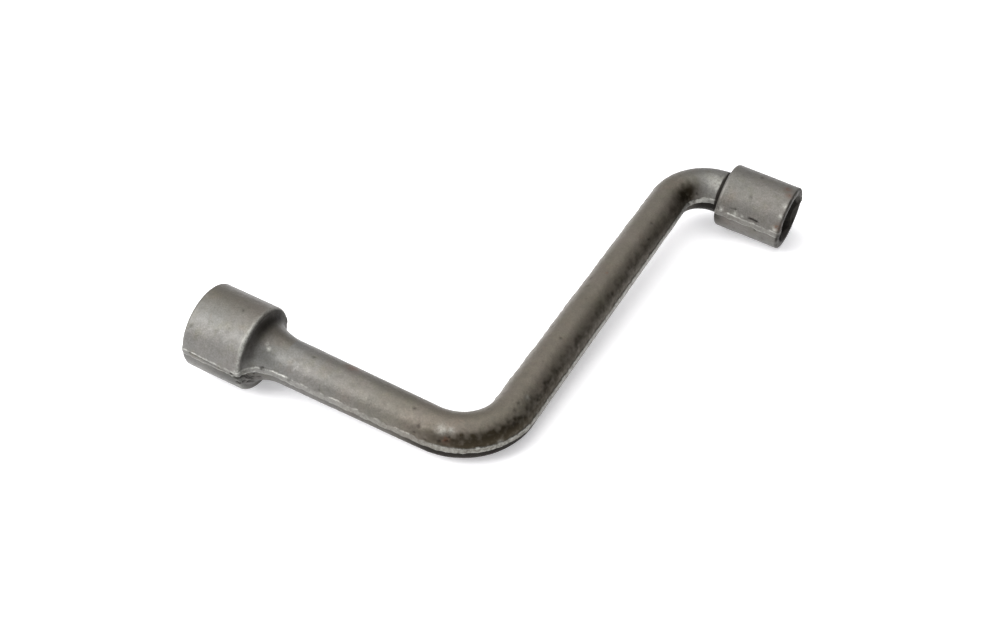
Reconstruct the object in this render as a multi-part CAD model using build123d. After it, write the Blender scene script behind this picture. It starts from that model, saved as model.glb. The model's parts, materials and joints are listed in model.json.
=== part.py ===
from build123d import *
from math import atan2, cos, degrees, radians, sqrt, tan
import os

# A cranked wrench with a hexagon socket at each end, drop forged in one piece.
# Every length is in millimetres.
#
# The wrench is drawn flat first. Its parting plane is the XY plane and the lower
# bend's corner is the origin. The long arm runs along -X, the main bar along +Y
# and the short arm along +X. It is then tilted onto the three points that it
# rests on, and moved so that the floor is z = 0.

# The centre line
LONG_ARM = 119.7
MAIN_BAR = 172.7
SHORT_ARM = 47.0
LOWER_BEND_RADIUS = 22.0
UPPER_BEND_RADIUS = 17.4

# The round bar, which thins from the large socket to the upper bend
BAR_RADIUS_AT_LARGE_SOCKET = 8.9
BAR_RADIUS_AT_LOWER_BEND = 8.4
BAR_RADIUS_AT_UPPER_BEND = 7.9
BAR_RADIUS_AT_SMALL_SOCKET = 8.9

# The large socket takes a 15/16 inch hexagon
LARGE_ACROSS_FLATS = 15 / 16 * 25.4 + 0.2
LARGE_OUTER_RADIUS = 16.7
LARGE_LENGTH = 25.4
LARGE_MOUTH_CHAMFER = 1.5
LARGE_SHOULDER_ROUND = 2.3
LARGE_FLARE_LENGTH = 12.5
LARGE_HEX_DEPTH = 18.0

# The small socket takes an 11/16 inch hexagon
SMALL_ACROSS_FLATS = 11 / 16 * 25.4 + 0.2
SMALL_OUTER_RADIUS = 13.3
SMALL_LENGTH = 28.4
SMALL_MOUTH_CHAMFER = 1.0
SMALL_SHOULDER_ROUND = 1.8
SMALL_HEX_DEPTH = 19.0

# Both cavities: a pilot hole drilled past the hexagon, and a bevelled way in
PILOT_UNDERSIZE = 0.4
PILOT_EXTRA_DEPTH = 4.0
DRILL_POINT_ANGLE = 118
DRILL_TIP_RADIUS = 0.2
LEAD_IN_DEPTH = 1.6
LEAD_IN_CLEARANCE = 0.25

# The ridge left where the two forging dies met
RIDGE_HEIGHT = 0.35
RIDGE_WIDTH = 0.9


def round_bar(start, direction, length, start_radius, end_radius):
    """A straight round bar that may taper, from start along direction."""
    from_base = (Align.CENTER, Align.CENTER, Align.MIN)
    if start_radius == end_radius:
        bar = Cylinder(start_radius, length, align=from_base)
    else:
        bar = Cone(start_radius, end_radius, length, align=from_base)
    return Plane(start, z_dir=direction) * bar


def bent_bar(path, start_radius, end_radius):
    """A round bar along a curved path, which may taper."""
    first = Plane(path @ 0, z_dir=path % 0) * Circle(start_radius)
    last = Plane(path @ 1, z_dir=path % 1) * Circle(end_radius)
    return sweep([first, last], path, multisection=True)


def hex_cavity(across_flats, depth):
    """What is cut from a socket with its mouth at x = 0 and its back towards +X."""
    corner = across_flats / 2 / cos(radians(30))
    hexagon = Plane.YZ * RegularPolygon(corner, 6, major_radius=True)
    pilot = across_flats / 2 - PILOT_UNDERSIZE
    pilot_depth = depth + PILOT_EXTRA_DEPTH
    point = (pilot - DRILL_TIP_RADIUS) / tan(radians(DRILL_POINT_ANGLE / 2))
    way_in = corner + LEAD_IN_CLEARANCE
    return (
        extrude(hexagon, depth)
        + round_bar((0, 0, 0), (1, 0, 0), pilot_depth, pilot, pilot)
        + round_bar((pilot_depth, 0, 0), (1, 0, 0), point, pilot, DRILL_TIP_RADIUS)
        + round_bar((0, 0, 0), (1, 0, 0), LEAD_IN_DEPTH, way_in, way_in - LEAD_IN_DEPTH)
    )


def socket_outside(length, radius, chamfer, shoulder, flare=0, neck=0):
    """A socket without its cavity, with its mouth at x = 0 and its back towards +X."""
    edge = radius - shoulder
    end = length + flare
    outline = [
        Line((0, 0), (0, radius - chamfer)),
        Line((0, radius - chamfer), (chamfer, radius)),
        Line((chamfer, radius), (length - shoulder, radius)),
        CenterArc((length - shoulder, edge), shoulder, 90, -90),
        Line((end, 0), (0, 0)),
    ]
    if flare:
        outline.append(EllipticalCenterArc((end, edge), flare, edge - neck, 180, arc_size=90))
        outline.append(Line((end, neck), (end, 0)))
    else:
        outline.append(Line((length, edge), (length, 0)))
    return revolve(make_face(outline), Axis.X)


def with_ridge(plain, grown):
    """A plain body and the ridge that stands out of it in the parting plane."""
    return plain + (grown & Box(1000, 1000, RIDGE_WIDTH))


def large_socket():
    """The large socket and the flare that runs from its shoulder into the long arm."""
    size = (LARGE_MOUTH_CHAMFER, LARGE_SHOULDER_ROUND, LARGE_FLARE_LENGTH)
    plain = socket_outside(LARGE_LENGTH, LARGE_OUTER_RADIUS, *size, BAR_RADIUS_AT_LARGE_SOCKET)
    grown = socket_outside(
        LARGE_LENGTH,
        LARGE_OUTER_RADIUS + RIDGE_HEIGHT,
        *size,
        BAR_RADIUS_AT_LARGE_SOCKET + RIDGE_HEIGHT,
    )
    body = with_ridge(plain, grown) - hex_cavity(LARGE_ACROSS_FLATS, LARGE_HEX_DEPTH)
    return Pos(-LONG_ARM, 0, 0) * body


def small_socket():
    """The small socket, whose shoulder meets the short arm in a sharp corner."""
    size = (SMALL_MOUTH_CHAMFER, SMALL_SHOULDER_ROUND)
    plain = socket_outside(SMALL_LENGTH, SMALL_OUTER_RADIUS, *size)
    grown = socket_outside(SMALL_LENGTH, SMALL_OUTER_RADIUS + RIDGE_HEIGHT, *size)
    body = with_ridge(plain, grown) - hex_cavity(SMALL_ACROSS_FLATS, SMALL_HEX_DEPTH)
    return Pos(SHORT_ARM, MAIN_BAR, 0) * Rot(0, 0, 180) * body


def bar_outside(extra):
    """The bar between the sockets, with its radius grown by extra."""
    at_large = BAR_RADIUS_AT_LARGE_SOCKET + extra
    at_lower = BAR_RADIUS_AT_LOWER_BEND + extra
    at_upper = BAR_RADIUS_AT_UPPER_BEND + extra
    at_small = BAR_RADIUS_AT_SMALL_SOCKET + extra
    lower = LOWER_BEND_RADIUS
    upper = UPPER_BEND_RADIUS
    arm_start = LARGE_LENGTH + LARGE_FLARE_LENGTH - LONG_ARM
    arm_end = SHORT_ARM - SMALL_LENGTH
    bar_end = MAIN_BAR - upper
    lower_path = CenterArc((-lower, lower), lower, -90, 90)
    upper_path = CenterArc((upper, bar_end), upper, 180, -90)
    return (
        round_bar((arm_start, 0, 0), (1, 0, 0), -lower - arm_start, at_large, at_lower)
        + bent_bar(lower_path, at_lower, at_lower)
        + round_bar((0, lower, 0), (0, 1, 0), bar_end - lower, at_lower, at_upper)
        + bent_bar(upper_path, at_upper, at_small)
        + round_bar((upper, MAIN_BAR, 0), (1, 0, 0), arm_end - upper, at_small, at_small)
    )


def cranked_bar():
    """The long arm, the main bar and the short arm, which are one bent bar."""
    return with_ridge(bar_outside(0), bar_outside(RIDGE_HEIGHT))


def floor_normal():
    """The floor's upward direction, seen from the flat wrench.

    The wrench rests on the large socket's rounded shoulder, on the underside of
    the lower bend and on the rim of the small socket's mouth. The direction is
    the one along which all three reach equally low.
    """
    bend = LOWER_BEND_RADIUS
    bar = BAR_RADIUS_AT_LOWER_BEND
    shoulder_place = LARGE_LENGTH - LARGE_SHOULDER_ROUND - LONG_ARM
    shoulder_ring = LARGE_OUTER_RADIUS - LARGE_SHOULDER_ROUND
    rim_place = SHORT_ARM - SMALL_MOUTH_CHAMFER
    x = 0.0
    y = 0.0
    for _ in range(40):
        z = sqrt(1 - x * x - y * y)
        across = sqrt(y * y + z * z)
        below_bend = bend * sqrt(x * x + y * y) + bar
        below_shoulder = across * shoulder_ring + LARGE_SHOULDER_ROUND
        below_rim = across * SMALL_OUTER_RADIUS
        x = (below_shoulder - below_bend + y * bend) / (shoulder_place + bend)
        y = (below_rim - below_bend - x * (rim_place + bend)) / (MAIN_BAR - bend)
    return x, y, sqrt(1 - x * x - y * y)


def onto_floor(nodes):
    """The nodes tilted onto the floor, with the origin under the middle of their box."""
    x, y, z = floor_normal()
    turn_y = degrees(atan2(-x, z))
    turn_x = degrees(atan2(y, sqrt(x * x + z * z)))
    tilted = {
        name: shape.rotate(Axis.Y, turn_y).rotate(Axis.X, turn_x)
        for name, shape in nodes.items()
    }
    box = Compound(list(tilted.values())).bounding_box()
    middle = box.center()
    move = Pos(-middle.X, -middle.Y, -box.min.Z)
    return {name: move * shape for name, shape in tilted.items()}


def main():
    nodes = {
        "large_socket": large_socket(),
        "cranked_bar": cranked_bar(),
        "small_socket": small_socket(),
    }
    os.makedirs("parts", exist_ok=True)
    for name, shape in onto_floor(nodes).items():
        export_step(shape, f"parts/{name}.step")


main()
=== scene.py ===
"""The looks of a cranked hexagon socket wrench that was drop forged in one piece.

The skin is one continuous grid. It starts at the bottom of the large socket, comes
out of its mouth, follows the bent centre line and folds into the small socket. It
is cut where the CAD nodes meet, and each length replaces its node.
"""

import json
import math

import bpy
import numpy as np
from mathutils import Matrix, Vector


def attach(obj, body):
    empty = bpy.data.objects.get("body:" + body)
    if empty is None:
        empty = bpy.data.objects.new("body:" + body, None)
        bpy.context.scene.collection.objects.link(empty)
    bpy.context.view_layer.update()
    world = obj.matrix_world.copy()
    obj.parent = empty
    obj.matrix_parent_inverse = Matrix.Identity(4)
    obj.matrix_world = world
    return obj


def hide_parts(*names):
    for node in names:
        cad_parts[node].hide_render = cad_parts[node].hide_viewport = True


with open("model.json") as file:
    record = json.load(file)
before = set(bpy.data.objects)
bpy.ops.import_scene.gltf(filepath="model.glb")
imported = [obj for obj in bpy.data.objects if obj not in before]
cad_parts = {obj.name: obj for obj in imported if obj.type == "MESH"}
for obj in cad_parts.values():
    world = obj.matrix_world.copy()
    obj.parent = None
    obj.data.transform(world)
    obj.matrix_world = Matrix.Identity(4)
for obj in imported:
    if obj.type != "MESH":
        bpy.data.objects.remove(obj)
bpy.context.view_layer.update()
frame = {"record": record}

# Sizes in millimetres, as in the CAD model. "Along" is the distance along the centre
# line from the large socket's mouth. An angle goes round the bar: 90 is its top, and
# 0 and 180 are the parting line on the left and right of someone walking along it.
MM = 0.001
LONG_ARM = 119.7
LOWER_BEND = 22.0
UPPER_BEND = 17.4
BAR_AT_LARGE_SOCKET = 8.9
BAR_AT_LOWER_BEND = 8.4
BAR_AT_UPPER_BEND = 7.9
BAR_AT_SMALL_SOCKET = 8.9
HEX_OVER_PILOT = 0.4
HEX_CORNER_CUT = 0.25
LEAD_IN = 0.25
LARGE = dict(length=25.4, radius=16.7, mouth_round=1.6, shoulder=1.5, flare=12.5, depth=18.0)
SMALL = dict(length=28.4, radius=13.3, mouth_round=1.0, shoulder=1.5, crease=0.5, depth=19.0)
PILOT_EXTRA = 4.0
DRILL_SLOPE = math.tan(math.radians(59))

# The land left round the parting line where the flash was trimmed: its height above
# the middle plane, half its width, how much that wanders, how soft its edges are,
# and how far it stands out. The burred lips at its edges: their place past the edge,
# their width, and how much further they stand out
LAND_MIDDLE = 1.1
LAND_HALF = 0.95
LAND_WANDER = 0.28
LAND_SOFT = 0.11
LAND_OUT = 0.24
LIP_PLACE = 0.05
LIP_WIDTH = 0.24
LIP_OUT = 0.13

# How far the two dies were out of line, and which way
DIE_MISMATCH = 0.07
MISMATCH_WAY = (0.8, -0.6, 0)

# Layers of random lumps: strength, size, seed
FINE_LUMPS = (1.3, 8)
FORGED_LUMPS = [(0.07, 9.0, 6), (0.035, 3.2, 7), (0.02, *FINE_LUMPS)]
RAGGEDNESS = [(1.0, 2.1, 3), (0.6, 0.8, 4)]

# The skin's grid
COLUMNS = 192
CROWDING = 0.6
ROW_STEP = 0.5
EDGE_STEP = 0.18
FINE_DEPTH = 4.0

mounts = {m["name"]: m for m in frame["record"]["mounts"]}


# ---------------------------------------------------------------- the centre line


def flat_frame():
    """Where the flat wrench lies: its lower corner, its three directions, and two lengths."""
    large = Vector(mounts["large_hex"]["pos_m"])
    small = Vector(mounts["small_hex"]["pos_m"])
    x = Vector(mounts["small_hex"]["axis"]).normalized()
    across = small - large
    y = across - x * across.dot(x)
    main_bar = y.length / MM
    y.normalize()
    corner = large + x * LONG_ARM * MM
    return corner, (x, y, x.cross(y)), main_bar, across.dot(x) / MM - LONG_ARM


CORNER, DIRECTIONS, MAIN_BAR, SHORT_ARM = flat_frame()
QUARTER = math.pi / 2
RUNS = [
    (LONG_ARM - LOWER_BEND, 0),
    (LOWER_BEND * QUARTER, 1 / LOWER_BEND),
    (MAIN_BAR - LOWER_BEND - UPPER_BEND, 0),
    (UPPER_BEND * QUARTER, -1 / UPPER_BEND),
    (SHORT_ARM - UPPER_BEND, 0),
]
ENDS = np.cumsum([length for length, _ in RUNS])
TOTAL = ENDS[-1]
SMALL_BACK = TOTAL - SMALL["length"]
FLARE_END = LARGE["length"] + LARGE["flare"]


def centre_line(along):
    """The flat wrench's centre line: x, y and heading at each distance along it."""
    x = np.zeros_like(along)
    y = np.zeros_like(along)
    heading = np.zeros_like(along)
    start = np.array([-LONG_ARM, 0.0])
    start_heading = 0.0
    done = 0.0
    for number, (length, curve) in enumerate(RUNS):
        last = number == len(RUNS) - 1
        here = (along >= done) & ((along < done + length) | last)
        part = along[here] - done
        turned = start_heading + curve * part
        x[here], y[here] = step_along(start, start_heading, turned, curve, part)
        heading[here] = turned
        end_heading = start_heading + curve * length
        start = np.array(step_along(start, start_heading, end_heading, curve, length))
        start_heading = end_heading
        done += length
    return x, y, heading


def step_along(start, heading, turned, curve, part):
    """Where a straight run or an arc has got to."""
    if curve == 0:
        return start[0] + part * math.cos(heading), start[1] + part * math.sin(heading)
    return (
        start[0] + (np.sin(turned) - math.sin(heading)) / curve,
        start[1] - (np.cos(turned) - math.cos(heading)) / curve,
    )


# ---------------------------------------------------------------- the outline


def straight(a, b, step):
    """Points from a up to, but not at, b."""
    count = max(1, math.ceil(math.dist(a, b) / step))
    shares = [i / count for i in range(count)]
    return [(a[0] + (b[0] - a[0]) * share, a[1] + (b[1] - a[1]) * share) for share in shares]


def curved(centre, along_radius, across_radius, start, end, step):
    """Points on a quarter ellipse, from the start angle up to, but not at, the end angle."""
    size = max(along_radius, across_radius)
    count = max(4, math.ceil(size * math.radians(abs(end - start)) / step))
    angles = [math.radians(start + (end - start) * i / count) for i in range(count)]
    return [
        (centre[0] + along_radius * math.cos(angle), centre[1] + across_radius * math.sin(angle))
        for angle in angles
    ]


def columns():
    """The grid's angles, crowded towards the parting line, with one at each hexagon corner."""
    even = np.arange(COLUMNS) * 2 * math.pi / COLUMNS
    angles = even - CROWDING / 2 * np.sin(2 * even)
    for corner in range(6):
        nearest = np.argmin(np.abs(angles - corner * math.pi / 3))
        angles[nearest] = corner * math.pi / 3
    return angles


ANGLES = columns()
DEGREES = np.degrees(ANGLES)


def cavity(pilot, depth):
    """A socket's inside from its mouth to its drill point: each row's depth and radii."""
    flats = pilot + HEX_OVER_PILOT
    corner = flats / math.cos(math.pi / 6)
    from_flat = np.mod(ANGLES, math.pi / 3) - math.pi / 6
    hexagon = np.minimum(flats / np.cos(from_flat), corner - HEX_CORNER_CUT)
    way_in = corner + LEAD_IN
    rows = []
    near_mouth = straight((0, 0), (FINE_DEPTH, 0), EDGE_STEP)
    for into, _ in near_mouth + straight((FINE_DEPTH, 0), (depth, 0), ROW_STEP):
        rows.append((into, np.maximum(hexagon, way_in - into)))
    rows.append((depth, hexagon))
    circle = np.ones(COLUMNS)
    for _, radius in straight((0, flats), (0, pilot), EDGE_STEP):
        rows.append((depth, np.minimum(hexagon, radius)))
    pilot_end = depth + PILOT_EXTRA
    for into, _ in straight((depth, 0), (pilot_end, 0), ROW_STEP):
        rows.append((into, circle * pilot))
    drill_point = (pilot_end + pilot / DRILL_SLOPE, 0)
    for into, radius in straight((pilot_end, pilot), drill_point, ROW_STEP):
        rows.append((into, circle * radius))
    return rows, way_in


def large_outside(way_in):
    """The large socket's outline from the edge of its cavity to the end of its flare."""
    radius, edge, length = LARGE["radius"], LARGE["mouth_round"], LARGE["length"]
    shoulder = LARGE["shoulder"]
    flare_drop = radius - shoulder - BAR_AT_LARGE_SOCKET
    flare_centre = (FLARE_END, radius - shoulder)
    return (
        straight((0, way_in), (0, radius - edge), EDGE_STEP)
        + curved((edge, radius - edge), edge, edge, 180, 90, EDGE_STEP)
        + straight((edge, radius), (length - shoulder, radius), ROW_STEP)
        + curved((length - shoulder, radius - shoulder), shoulder, shoulder, 90, 0, EDGE_STEP)
        + curved(flare_centre, LARGE["flare"], flare_drop, 180, 270, EDGE_STEP * 2)
    )


def bar_outside():
    """The bar's outline between the sockets."""
    crease = SMALL["crease"]
    places = [
        (FLARE_END, BAR_AT_LARGE_SOCKET),
        (ENDS[0], BAR_AT_LOWER_BEND),
        (ENDS[1], BAR_AT_LOWER_BEND),
        (ENDS[2], BAR_AT_UPPER_BEND),
        (SMALL_BACK - crease, BAR_AT_SMALL_SOCKET),
    ]
    points = []
    for a, b in zip(places[:-1], places[1:]):
        points += straight(a, b, ROW_STEP)
    crease_centre = (SMALL_BACK - crease, BAR_AT_SMALL_SOCKET + crease)
    return points + curved(crease_centre, crease, crease, -90, 0, EDGE_STEP)


def small_outside(way_in):
    """The small socket's outline from its back to the edge of its cavity."""
    radius, edge, shoulder = SMALL["radius"], SMALL["mouth_round"], SMALL["shoulder"]
    foot = (SMALL_BACK, BAR_AT_SMALL_SOCKET + SMALL["crease"])
    return (
        straight(foot, (SMALL_BACK, radius - shoulder), EDGE_STEP)
        + curved((SMALL_BACK + shoulder, radius - shoulder), shoulder, shoulder, 180, 90, EDGE_STEP)
        + straight((SMALL_BACK + shoulder, radius), (TOTAL - edge, radius), ROW_STEP)
        + curved((TOTAL - edge, radius - edge), edge, edge, 90, 0, EDGE_STEP)
        + straight((TOTAL, radius - edge), (TOTAL, way_in), EDGE_STEP)
    )


def round_rows(outline):
    """Rows of an outline's points, each a full circle with the outside's texture."""
    return [(along, np.full(COLUMNS, radius), 1.0) for along, radius in outline]


def skin_rows():
    """Every row of the skin: distance along, radii, 1 outside or 0 inside, and the two cuts."""
    large_inside, large_way_in = cavity(mounts["large_pilot"]["dims"]["r_mm"], LARGE["depth"])
    small_inside, small_way_in = cavity(mounts["small_pilot"]["dims"]["r_mm"], SMALL["depth"])
    rows = [(into, radii, 0.0) for into, radii in reversed(large_inside)]
    rows += round_rows(large_outside(large_way_in))
    first_cut = len(rows)
    rows += round_rows(bar_outside())
    second_cut = len(rows)
    rows += round_rows(small_outside(small_way_in))
    rows += [(TOTAL - into, radii, 0.0) for into, radii in small_inside]
    along, radii, outside = zip(*rows)
    return np.array(along), np.array(radii), np.array(outside), first_cut, second_cut


# The outline without the mouths' flat faces
OUTLINE = (
    large_outside(LARGE["radius"] - LARGE["mouth_round"])
    + bar_outside()
    + small_outside(SMALL["radius"] - SMALL["mouth_round"])
)


# ---------------------------------------------------------------- the forged surface


def lumps(points, size, seed):
    """Smooth random values from -1 to 1, with lumps about size millimetres across."""
    cells = 40
    table = np.random.default_rng(seed).uniform(-1, 1, (cells, cells, cells))
    scaled = points / size
    whole = np.floor(scaled).astype(int)
    part = scaled - whole
    part = part * part * (3 - 2 * part)
    total = 0
    for corner in np.ndindex(2, 2, 2):
        share = np.prod(np.where(corner, part, 1 - part), axis=-1)
        index = (whole + corner) % cells
        total = total + share * table[index[..., 0], index[..., 1], index[..., 2]]
    return total


def layered(points, layers):
    """Lumps of several sizes, added up."""
    return sum(strength * lumps(points, size, seed) for strength, size, seed in layers)


def normals_of(points):
    """The grid's outward directions, from its neighbours."""
    down = np.gradient(points, axis=0)
    around = np.roll(points, -1, axis=1) - np.roll(points, 1, axis=1)
    normal = np.cross(around, down)
    return normal / np.maximum(np.linalg.norm(normal, axis=-1, keepdims=True), 1e-12)


def on_skin(along, angle):
    """The point of the flat wrench's skin at a distance along and an angle in degrees."""
    x, y, heading = (float(v[0]) for v in centre_line(np.array([float(along)])))
    radius = np.interp(along, *zip(*OUTLINE))
    out = radius * math.cos(math.radians(angle))
    up = radius * math.sin(math.radians(angle))
    return np.array([x - out * math.sin(heading), y + out * math.cos(heading), up])


def smooth_skin(along, radii):
    """The skin with no texture, in the flat wrench's frame."""
    x, y, heading = centre_line(along)
    out = radii * np.cos(ANGLES)
    points = np.empty(radii.shape + (3,))
    points[..., 0] = x[:, None] - out * np.sin(heading)[:, None]
    points[..., 1] = y[:, None] + out * np.cos(heading)[:, None]
    points[..., 2] = radii * np.sin(ANGLES)
    return points


# Marks on the skin. Each starts with its place: the distance along and the angle.
# Nicks and pits: place, width, depth
NICKS = [
    (31.5, 166, 0.7, 0.5),
    (28.6, 186, 0.5, 0.4),
    (95.0, 154, 0.5, 0.25),
    (103.0, 152, 0.6, 0.4),
    (105.0, 148, 0.6, 0.45),
    (105.5, 138, 0.6, 0.4),
    (106.8, 144, 0.4, 0.2),
    (99.0, 160, 0.5, 0.25),
    (302.5, 158, 0.5, 0.3),
    (234.5, 128, 0.4, 0.25),
    (135.0, 114, 0.9, 0.12),
]
# Cracks: the places they pass through, width, depth
CRACKS = [
    ([(22.5, 177), (24.6, 181), (26.3, 188), (27.0, 202)], 0.5, 0.6),
    ([(26.3, 190), (27.6, 208), (30.0, 212)], 0.55, 0.6),
    ([(24.6, 190), (25.8, 202)], 0.5, 0.4),
    ([(27.2, 196), (28.8, 199), (30.5, 196)], 0.5, 0.35),
    ([(26.0, 209), (27.0, 222)], 0.6, 0.4),
    ([(309.0, 164), (310.6, 164), (312.8, 165)], 0.5, 0.5),
    ([(300.5, 159), (303.0, 158)], 0.3, 0.2),
    ([(4.0, 174), (9.0, 175), (14.0, 176), (20.0, 177)], 0.3, 0.15),
]
# Burrs, which stand proud: place, width, height
BURRS = [
    (24.0, 170, 1.1, 0.35),
    (26.0, 178, 1.0, 0.5),
    (28.4, 174, 1.2, 0.3),
    (104.5, 122, 1.5, 0.10),
    (296.6, 166, 0.9, 0.3),
    (303.5, 166, 1.2, 0.2),
    (320.2, 164, 1.1, 0.3),
]
# Places rubbed bright, and places with a painted highlight: place, width, strength
RUBBED_AND_HIGHLIGHTS = [
    (31.5, 120, 0.7, 0.9),
    (30.2, 112, 0.6, 0.5),
    (24.6, 169, 0.8, 0.8),
    (26.2, 177, 0.7, 0.9),
    (28.8, 177, 0.7, 0.7),
    (103.0, 123, 1.9, 0.45),
    (105.8, 121, 1.2, 0.5),
    (119.5, 166, 1.0, 0.6),
    (297.0, 167, 0.8, 1.0),
    (303.0, 166, 1.0, 0.8),
    (306.0, 165, 0.6, 0.7),
    (320.4, 165, 1.0, 1.2),
    (321.0, 120, 1.0, 0.7),
    (321.0, 140, 0.9, 0.6),
    (135.0, 114, 1.0, 0.4),
    (289.0, 122, 4.5, 0.42),
]
# Rust spots: place, width
RUST = [
    (318.6, 84, 1.6),
    (320.4, 97, 1.2),
    (207.0, 88, 0.5),
    (321.3, 160, 1.6),
    (104.6, 146, 1.2),
    (62.0, 60, 2.5),
]
# How many pits are scattered, and their random seed
SCATTERED_PITS = 150
PIT_SEED = 11
# A crack is a row of dents, this share of the way between its places apart
CRACK_STEP = 0.12
# Each dent has a low rim, and its painted shade and grime are at their darkest from this depth on
RIM_SHARE = 0.15
DARKEST_FROM = 0.35

# How bright or dark the skin is at distances along it: place, strength
LAND_SHINE = [(0, 0.05), (25, 0.1), (40, 0.2), (95, 0.25), (105, 0.55), (280, 0.75), (296, 0.15)]
LIP_SHINE = [
    (0, 1.3),
    (25, 1.3),
    (40, 1.0),
    (50, 0.35),
    (90, 0.3),
    (105, 0.7),
    (280, 0.45),
    (296, 0.8),
    (TOTAL, 1.2),
]
# Painted shade in the line below the land: its strength at distances along it
UNDER_LAND_SHADE = [
    (0, 0.1),
    (26, 0.5),
    (34, 0.2),
    (85, 0.4),
    (100, 1),
    (128, 1),
    (140, 0.1),
    (265, 0.05),
    (280, 0.95),
    (292, 0.95),
    (300, 0),
]
# Painted shade with dark scale on the main bar's flank: its strength at distances along it
FLANK_SHADE_AND_SCALE = [(86, 0), (112, 1.15), (135, 1.05), (180, 0.75), (250, 0.55), (268, 0.8), (282, 0)]
BROWNED = [(45, 0.1), (100, 1), (270, 0.9), (284, 0.1), (296, 0.3)]
# How dark the painted shade behind the large shoulder is at angles round it, and how wide the painted shade
# in the small crease is in millimetres
RECESS_SHADE = [(10, 0.64), (40, 1.0), (90, 0.96), (115, 0.72), (150, 0.64), (175, 0.16)]
CREASE_WIDTH = [(60, 1.9), (90, 2.1), (150, 2.9), (180, 2.6)]
# The patch of painted shade and dark scale in the upper bend: middle and width along, middle and width in
# degrees
BEND_SHADE_PATCH = (269, 9), (140, 30)
# The flank's painted shade and dark scale: where it starts and how soon it is full, in degrees, and how
# ragged
FLANK_START = 119
FLANK_SOFT = 22
FLANK_RAGGED = 9
# The painted highlight and wear on the large shoulder's arc, and the brown top of the large socket, in
# degrees
SHOULDER_HIGHLIGHT_ARC = (128, 28)
BROWN_TOP = (75, 32)
# The radius at which the large shoulder starts, and the one that the painted shade in the small crease
# reaches
SHOULDER_FROM = 15.0
CREASE_REACH = 12.6
# The far side of the land is duller, and the insides are smoother and darkened with painted shade
FAR_SIDE = 0.4
INSIDE_SHADE = 0.75
INSIDE_RELIEF = 0.2


def scattered_pits():
    """Small pits all over, at random places that are the same each time."""
    random = np.random.default_rng(PIT_SEED)
    pits = []
    for _ in range(SCATTERED_PITS):
        width = random.uniform(0.3, 0.8)
        place = random.uniform(2, TOTAL - 2), random.uniform(0, 360)
        pits.append((*place, width, width * random.uniform(0.1, 0.3)))
    return pits


def cracks():
    """The cracks as rows of dents that overlap."""
    dents = []
    for places, width, depth in CRACKS:
        for a, b in zip(np.array(places[:-1]), np.array(places[1:])):
            for share in np.arange(0, 1, CRACK_STEP):
                dents.append((*(a + (b - a) * share), width, depth))
    return dents


def near(points, place, width):
    """1 at a place on the skin, falling to 0 over about width, and the distance in widths."""
    gap = np.linalg.norm(points - on_skin(*place), axis=-1) / width
    return np.exp(-(gap**2)), gap


def bump_at(values, middle, width):
    """1 where values are near middle, falling to 0 over about width."""
    return np.exp(-(((values - middle) / width) ** 2))


def graded(values, table):
    """A value for each of values, from a table of places and strengths."""
    return np.interp(values, *zip(*table))


class Skin:
    """The skin's grid before its texture, and where the trimmed land lies on it."""

    def __init__(self, along, radii, outside):
        self.points = smooth_skin(along, radii)
        self.along = along[:, None]
        self.radii = radii
        self.outside = outside[:, None]
        self.ragged = layered(self.points, RAGGEDNESS)
        from_middle = np.abs(self.points[..., 2] - LAND_MIDDLE)
        to_edge = from_middle - LAND_HALF - LAND_WANDER * self.ragged
        self.land = 1 / (1 + np.exp(np.clip(to_edge / LAND_SOFT, -30, 30)))
        self.lip = bump_at(to_edge, LIP_PLACE, LIP_WIDTH)


def forged_rise(skin):
    """How far the land, its lips and the broad lumps stand out."""
    land = LAND_OUT * skin.land * (1 + 0.4 * skin.ragged)
    lip = LIP_OUT * skin.lip * (1 + 0.5 * skin.ragged)
    return land + lip + layered(skin.points, FORGED_LUMPS)


def marked(skin, rise):
    """The relief with its dents and burrs, and a mask of the painted shade and grime in the dents."""
    dents = np.zeros_like(skin.radii)
    patchy = np.clip(1 + 0.5 * skin.ragged, 0.3, 1)
    for *place, width, depth in NICKS + cracks() + scattered_pits():
        dent, gap = near(skin.points, place, width)
        rim = RIM_SHARE * depth * bump_at(gap, 1.5, 0.5)
        rise = np.minimum(rise, rise * (1 - dent) - depth * dent) + rim
        dents = np.maximum(dents, dent * min(1.0, depth / DARKEST_FROM) * patchy)
    for *place, width, height in BURRS:
        rise = rise + height * near(skin.points, place, width)[0] * (1 + 0.6 * skin.ragged)
    return rise, dents


def wear_and_highlight_mask(skin):
    """Metal rubbed bright, and painted highlights: the land and its lips, single places, some of them
    painted highlights, and a painted highlight with wear on the large shoulder.
    """
    side = np.where(np.cos(ANGLES) < 0, 1.0, FAR_SIDE)
    land = graded(skin.along, LAND_SHINE) * side * skin.land
    lips = graded(skin.along, LIP_SHINE) * skin.lip * (0.6 + 0.5 * skin.ragged)
    worn = (lips + land) * skin.outside
    for *place, width, strength in RUBBED_AND_HIGHLIGHTS:
        worn = np.maximum(worn, strength * near(skin.points, place, width)[0])
    shoulder_highlight = bump_at(skin.along, LARGE["length"] - 0.7, 0.7) * (skin.radii > SHOULDER_FROM)
    return np.maximum(worn, shoulder_highlight * (0.35 + 0.6 * bump_at(DEGREES, *SHOULDER_HIGHLIGHT_ARC)))


def rusty_mask(skin):
    """The rust spots."""
    rusty = np.zeros_like(skin.radii)
    for *place, width in RUST:
        rusty = np.maximum(rusty, near(skin.points, place, width)[0])
    return rusty


def shade_under_land(skin):
    """Painted shade: a dark line below the land, strongest at the bends."""
    drop = LAND_MIDDLE - LAND_HALF - skin.points[..., 2] - 0.2 * skin.ragged
    line = np.clip(drop / 0.4, 0, 1) * np.clip((7 - drop) / 4, 0, 1) * (DEGREES > 90)
    return line * graded(skin.along, UNDER_LAND_SHADE)


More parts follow.
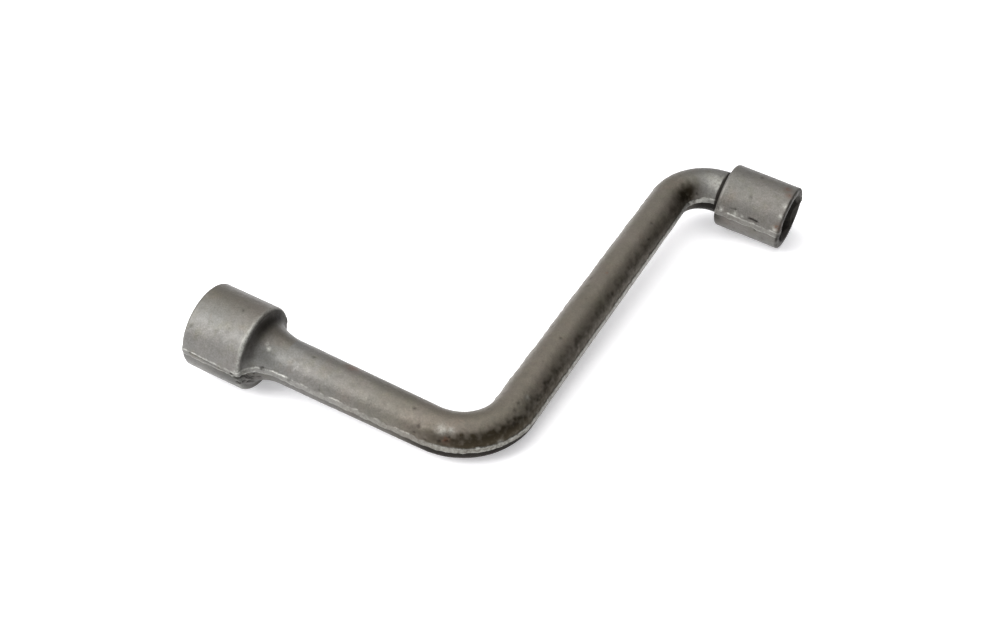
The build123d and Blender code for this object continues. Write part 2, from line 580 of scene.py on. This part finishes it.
def small_crease_shade(skin):
    """Painted shade in the crease where the bar meets the small socket's back."""
    start = SMALL_BACK - graded(DEGREES, CREASE_WIDTH)
    dark = np.clip((skin.along - start) / 0.4, 0, 1)
    return dark * (skin.radii < CREASE_REACH) * (skin.along < SMALL_BACK + 1)


def small_mouth(skin):
    """The patchy dark edge of the small socket's mouth."""
    at_edge = np.clip((skin.along - TOTAL + 1.1) / 0.5, 0, 1)
    return at_edge * np.clip(0.62 + 0.35 * skin.ragged, 0, 1)


def large_recess_shade(skin):
    """A band of painted shade behind the large socket's shoulder."""
    past_edge = np.clip((skin.along - LARGE["length"] + 0.7) / 0.6, 0, 1)
    band = past_edge * bump_at(skin.along, LARGE["length"] + 0.8, 2.0)
    return band * graded(DEGREES, RECESS_SHADE)


def shade_and_grime_mask(skin, dents):
    """Painted shade and grime: in the dents, corners and insides."""
    inside = np.where(skin.outside > 0, 0.0, INSIDE_SHADE) + np.zeros_like(skin.radii)
    corners = [shade_under_land(skin), small_crease_shade(skin), small_mouth(skin), large_recess_shade(skin)]
    return np.maximum.reduce([dents, inside, *corners])


def scale_and_shade_mask(skin):
    """Painted shade with dark scale on the main bar's right flank, and a patch of both in the upper bend.
    """
    place, angle = BEND_SHADE_PATCH
    mottled = DEGREES + FLANK_RAGGED * skin.ragged
    past_start = mottled + FLANK_RAGGED * lumps(skin.points, *FINE_LUMPS) - FLANK_START
    flank = np.clip(past_start / FLANK_SOFT, 0, 1) * (DEGREES < 180)
    flank = flank * graded(skin.along, FLANK_SHADE_AND_SCALE)
    return np.maximum(flank, 1.3 * bump_at(mottled, *angle) * bump_at(skin.along, *place))


def brown_mask(skin):
    """Brown scale on the main bar, and a darker brown tone on top of the large socket."""
    large_top = 0.7 * bump_at(DEGREES, *BROWN_TOP) * (skin.along < FLARE_END)
    return np.maximum(graded(skin.along, BROWNED), large_top)


def relief(skin):
    """How far the skin stands out at each point, and masks for wear, grime and scale."""
    rise, dents = marked(skin, forged_rise(skin))
    masks = {
        "worn": wear_and_highlight_mask(skin),
        "hollow": shade_and_grime_mask(skin, dents),
        "rusty": rusty_mask(skin),
        "soiled": scale_and_shade_mask(skin),
        "brown": brown_mask(skin),
    }
    return rise * np.where(skin.outside > 0, 1.0, INSIDE_RELIEF), masks


def forged_skin():
    """The finished skin in the row frame in metres, its normals and masks, and the cuts."""
    along, radii, outside, first_cut, second_cut = skin_rows()
    skin = Skin(along, radii, outside)
    rise, masks = relief(skin)
    mismatch = DIE_MISMATCH * np.tanh(skin.points[..., 2:] / 0.2) * np.array(MISMATCH_WAY)
    points = skin.points + normals_of(skin.points) * rise[..., None]
    points = points + mismatch * skin.outside[..., None]
    directions = np.array([list(d) for d in DIRECTIONS])
    placed = points @ directions * MM + np.array(CORNER)
    return placed, normals_of(placed), masks, first_cut, second_cut


def skin_faces(rows):
    """Four-sided faces between rows, then triangles that close both ends at two last points."""
    ring = np.arange(COLUMNS)
    after = np.roll(ring, -1)
    starts = (np.arange(rows - 1) * COLUMNS)[:, None]
    quads = np.stack([starts + ring, starts + after, starts + after + COLUMNS, starts + ring + COLUMNS], -1)
    middle = rows * COLUMNS
    last_row = middle - COLUMNS
    pairs = list(zip(ring.tolist(), after.tolist()))
    first_end = [(b, a, middle) for a, b in pairs]
    last_end = [(last_row + a, last_row + b, middle + 1) for a, b in pairs]
    return quads.reshape(-1, 4).tolist(), first_end + last_end


def skin_mesh(name, placed, normals, masks):
    """One length of the skin as a closed mesh, smooth across its cuts."""
    quads, ends = skin_faces(len(placed))
    middles = np.array([placed[0].mean(axis=0), placed[-1].mean(axis=0)])
    mesh = bpy.data.meshes.new(name)
    mesh.from_pydata(np.vstack([placed.reshape(-1, 3), middles]).tolist(), [], quads + ends)
    for mask_name, values in masks.items():
        attribute = mesh.attributes.new(mask_name, "FLOAT", "POINT")
        attribute.data.foreach_set("value", np.append(values.ravel(), [0.0, 0.0]).astype(np.float32))
    mesh.shade_smooth()
    corners = np.zeros(len(mesh.loops), dtype=np.int32)
    mesh.loops.foreach_get("vertex_index", corners)
    skin_corners = corners[: 4 * len(quads)]
    loop_normals = np.zeros((len(corners), 3))
    loop_normals[: len(skin_corners)] = normals.reshape(-1, 3)[skin_corners]
    mesh.normals_split_custom_set(loop_normals.tolist())
    return mesh


def skin_piece(name, mesh, material, node):
    """A mesh as a piece that replaces a node."""
    mesh.materials.append(material)
    piece = bpy.data.objects.new(name, mesh)
    bpy.context.scene.collection.objects.link(piece)
    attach(piece, "root")
    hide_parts(node)


def wrench(material):
    """The three lengths of the skin."""
    placed, normals, masks, first_cut, second_cut = forged_skin()
    lengths = [
        ("large_socket_forging", "large_socket", 0, first_cut + 1),
        ("cranked_bar_forging", "cranked_bar", first_cut, second_cut + 1),
        ("small_socket_forging", "small_socket", second_cut, len(placed)),
    ]
    for name, node, first, last in lengths:
        own_masks = {mask: values[first:last] for mask, values in masks.items()}
        mesh = skin_mesh(name, placed[first:last], normals[first:last], own_masks)
        skin_piece(name, mesh, material, node)


# ---------------------------------------------------------------- the steel


class Shader:
    """A short way to write node materials."""

    def __init__(self, name):
        self.material = bpy.data.materials.new(name)
        self.material.use_nodes = True
        self.tree = self.material.node_tree
        self.surface = self.tree.nodes["Principled BSDF"]

    def node(self, kind, inputs=None, **settings):
        """A node with its settings, and its inputs given as values or as sockets to link."""
        made = self.tree.nodes.new(kind)
        for setting, value in settings.items():
            setattr(made, setting, value)
        for socket, value in (inputs or {}).items():
            self.feed(made.inputs[socket], value)
        return made

    def feed(self, socket, value):
        """Links a socket to an input, or sets the input's value."""
        if isinstance(value, bpy.types.NodeSocket):
            self.tree.links.new(value, socket)
        else:
            socket.default_value = value

    def noise(self, size_mm, detail, roughness):
        """Noise in object space, with features about size_mm across."""
        place = self.node("ShaderNodeTexCoord").outputs["Object"]
        scale = 1 / (size_mm * MM)
        inputs = {"Vector": place, "Scale": scale, "Detail": detail, "Roughness": roughness}
        return self.node("ShaderNodeTexNoise", inputs).outputs["Fac"]

    def mask(self, name):
        """A mask stored on the mesh."""
        return self.node("ShaderNodeAttribute", attribute_name=name).outputs["Fac"]

    def ramp(self, value, start, end, low=0.0, high=1.0):
        """value stretched so that start becomes low and end becomes high, and no further."""
        inputs = {"Value": value, "From Min": start, "From Max": end, "To Min": low, "To Max": high}
        return self.node("ShaderNodeMapRange", inputs, clamp=True).outputs["Result"]

    def times(self, a, b):
        """a times b."""
        return self.node("ShaderNodeMath", {0: a, 1: b}, operation="MULTIPLY").outputs[0]

    def plus(self, a, b):
        """a plus b."""
        return self.node("ShaderNodeMath", {0: a, 1: b}, operation="ADD").outputs[0]

    def blend(self, factor, a, b):
        """Colour a where factor is 0 and colour b where it is 1."""
        made = self.node("ShaderNodeMix", data_type="RGBA")
        self.feed(made.inputs["Factor"], factor)
        self.feed(made.inputs["A"], a)
        self.feed(made.inputs["B"], b)
        return made.outputs["Result"]


# The steel's colours
GREY_SCALE = (0.134, 0.136, 0.131, 1), (0.158, 0.154, 0.146, 1)
BROWN_SCALE = (0.106, 0.093, 0.069, 1), (0.130, 0.110, 0.089, 1)
OLIVE_TINT = (0.118, 0.116, 0.078, 1)
RUDDY_TINT = (0.140, 0.092, 0.070, 1)
DARK_GRAIN = (0.055, 0.050, 0.042, 1)
DARK_MOTTLE = (0.070, 0.066, 0.056, 1)
# Dark scale, also used for the painted shade on the flank
DARK_SCALE_AND_SHADE = (0.026, 0.020, 0.011, 1)
# Bare steel, also used for painted highlights
BARE_STEEL_AND_HIGHLIGHT = (0.38, 0.38, 0.35, 1)
RUST_BROWN = (0.10, 0.045, 0.025, 1)
# Grime, also used for the painted shade in dents, corners, creases and insides
GRIME_AND_SHADE_BLACK = (0.012, 0.010, 0.008, 1)


def scale_colour(s, mottle, grain):
    """Grey and brown scale with faint tints, and darker in its grain and mottle."""
    broad = s.ramp(s.noise(16, 2, 0.5), 0.35, 0.65)
    colour = s.blend(s.mask("brown"), s.blend(broad, *GREY_SCALE), s.blend(broad, *BROWN_SCALE))
    colour = s.blend(s.ramp(s.noise(5, 3, 0.6), 0.5, 0.7, 0, 0.36), colour, OLIVE_TINT)
    colour = s.blend(s.ramp(s.noise(6.5, 3, 0.6), 0.54, 0.72, 0, 0.2), colour, RUDDY_TINT)
    colour = s.blend(s.ramp(grain, 0.3, 0.7, 0.55, 0.0), colour, DARK_GRAIN)
    return s.blend(s.ramp(mottle, 0.52, 0.72, 0.0, 0.35), colour, DARK_MOTTLE)


def forged_steel():
    """Dull oxidised steel: brown and grey scale, brighter where worn and at painted highlights, with
    painted shade and grime in its hollows and painted shade with dark scale on the flank.
    """
    s = Shader("forged_steel")
    mottle = s.noise(2.4, 4, 0.6)
    grain = s.noise(0.6, 3, 0.65)
    # Painted shade with dark scale on the flank, mottled
    soiled = s.times(s.mask("soiled"), s.ramp(mottle, 0.28, 0.55, 0.45, 1.0))
    # Wear and painted highlights, broken up
    worn = s.times(s.mask("worn"), s.ramp(s.noise(1.2, 4, 0.7), 0.35, 0.6, 0.25, 1.0))
    rust = s.times(s.mask("rusty"), s.ramp(grain, 0.35, 0.6))
    # Painted shade and grime in the hollows, with random dark specks
    specks = s.ramp(s.noise(1.0, 3, 0.6), 0.68, 0.80, 0, 0.45)
    grime_and_shade = s.ramp(s.plus(s.mask("hollow"), specks), 0, 1)
    colour = scale_colour(s, mottle, grain)
    colour = s.blend(s.ramp(soiled, 0.0, 1.0, 0.0, 0.92), colour, DARK_SCALE_AND_SHADE)
    colour = s.blend(worn, colour, BARE_STEEL_AND_HIGHLIGHT)
    colour = s.blend(rust, colour, RUST_BROWN)
    colour = s.blend(s.times(grime_and_shade, 0.9), colour, GRIME_AND_SHADE_BLACK)
    rough = s.plus(s.ramp(mottle, 0.3, 0.7, 0.40, 0.52), s.times(grime_and_shade, 0.3))
    rough = s.plus(rough, s.times(worn, -0.08))
    metal = s.ramp(s.plus(grime_and_shade, soiled), 0, 1, 0.55, 0.97)
    fine = s.node("ShaderNodeBump", {"Height": grain, "Strength": 0.3, "Distance": 0.0002})
    fine_normal = fine.outputs["Normal"]
    inputs = {"Height": mottle, "Strength": 0.25, "Distance": 0.0005, "Normal": fine_normal}
    coarse = s.node("ShaderNodeBump", inputs)
    s.feed(s.surface.inputs["Base Color"], colour)
    s.feed(s.surface.inputs["Roughness"], rough)
    s.feed(s.surface.inputs["Metallic"], metal)
    s.feed(s.surface.inputs["Normal"], coarse.outputs["Normal"])
    return s.material


# ---------------------------------------------------------------- the studio


FLOOR_HALF = 4.0


def floor():
    """A plain white floor at z = 0."""
    corners = [(x * FLOOR_HALF, y * FLOOR_HALF, 0) for x, y in ((-1, -1), (1, -1), (1, 1), (-1, 1))]
    mesh = bpy.data.meshes.new("floor")
    mesh.from_pydata(corners, [], [(0, 1, 2, 3)])
    made = bpy.data.objects.new("floor", mesh)
    bpy.context.scene.collection.objects.link(made)
    s = Shader("white_floor")
    s.surface.inputs["Base Color"].default_value = (0.86, 0.86, 0.87, 1)
    s.surface.inputs["Roughness"].default_value = 0.9
    s.surface.inputs["Specular IOR Level"].default_value = 0.1
    s.surface.inputs["Emission Color"].default_value = (0.98, 0.98, 1.0, 1)
    s.surface.inputs["Emission Strength"].default_value = 0.35
    mesh.materials.append(s.material)


def aimed(thing, place, aim):
    """Puts a light or camera at a place, pointing at another."""
    thing.location = place
    thing.rotation_euler = (Vector(aim) - Vector(place)).to_track_quat("-Z", "Y").to_euler()
    bpy.context.scene.collection.objects.link(thing)
    return thing


def softbox(name, place, size, power, colour):
    """A square area light that faces the wrench."""
    light = bpy.data.lights.new(name, "AREA")
    light.shape = "SQUARE"
    light.size = size
    light.energy = power
    light.color = colour
    aimed(bpy.data.objects.new(name, light), place, (0, 0, 0))


# The room's dim side: its direction, the cosines to it where the dimming starts and
# ends, and the strength of the light away from it and in it
DIM_SIDE = (0.70, 0.58, 0.42)
DIM_START = 0.66
DIM_END = 0.9
ROOM_LIGHT = 0.66
ROOM_DIM = 0.02


def room():
    """A pale room that is dim towards the back right."""
    world = bpy.data.worlds.new("room")
    world.use_nodes = True
    nodes, links = world.node_tree.nodes, world.node_tree.links
    direction = nodes.new("ShaderNodeTexCoord").outputs["Generated"]
    towards = nodes.new("ShaderNodeVectorMath")
    towards.operation = "DOT_PRODUCT"
    towards.inputs[1].default_value = DIM_SIDE
    links.new(direction, towards.inputs[0])
    dimming = nodes.new("ShaderNodeMapRange")
    dimming.interpolation_type = "SMOOTHSTEP"
    dimming.inputs["From Min"].default_value = DIM_START
    dimming.inputs["From Max"].default_value = DIM_END
    dimming.inputs["To Min"].default_value = ROOM_LIGHT
    dimming.inputs["To Max"].default_value = ROOM_DIM
    links.new(towards.outputs["Value"], dimming.inputs["Value"])
    background = nodes["Background"]
    background.inputs["Color"].default_value = (0.98, 0.98, 1.0, 1)
    links.new(dimming.outputs["Result"], background.inputs["Strength"])
    bpy.context.scene.world = world


def studio():
    """A big soft light overhead, a smaller one at the front left, and the room."""
    softbox("overhead", (-0.3, -0.1, 1.4), 2.0, 28, (1.0, 0.99, 0.97))
    softbox("front_left", (-0.8, -0.8, 0.8), 0.9, 18, (1.0, 0.995, 1.0))
    room()
    bpy.context.scene.view_settings.view_transform = "Standard"


# The camera's direction and height in degrees, its distance and aim in metres, and its
# focal length in millimetres
CAMERA_AZIMUTH = 28.9
CAMERA_HEIGHT = 41.1
CAMERA_DISTANCE = 0.646
CAMERA_AIM = (0.0106, -0.0263, 0.015)
CAMERA_LENS = 61.1


def camera():
    """The camera, aimed at the wrench."""
    azimuth = math.radians(CAMERA_AZIMUTH)
    height = math.radians(CAMERA_HEIGHT)
    level = Vector((math.sin(azimuth), -math.cos(azimuth), 0))
    back = level * math.cos(height) + Vector((0, 0, math.sin(height)))
    data = bpy.data.cameras.new("camera")
    data.lens = CAMERA_LENS
    data.clip_start = 0.01
    place = Vector(CAMERA_AIM) + back * CAMERA_DISTANCE
    bpy.context.scene.camera = aimed(bpy.data.objects.new("camera", data), place, CAMERA_AIM)


wrench(forged_steel())
floor()
studio()
camera()
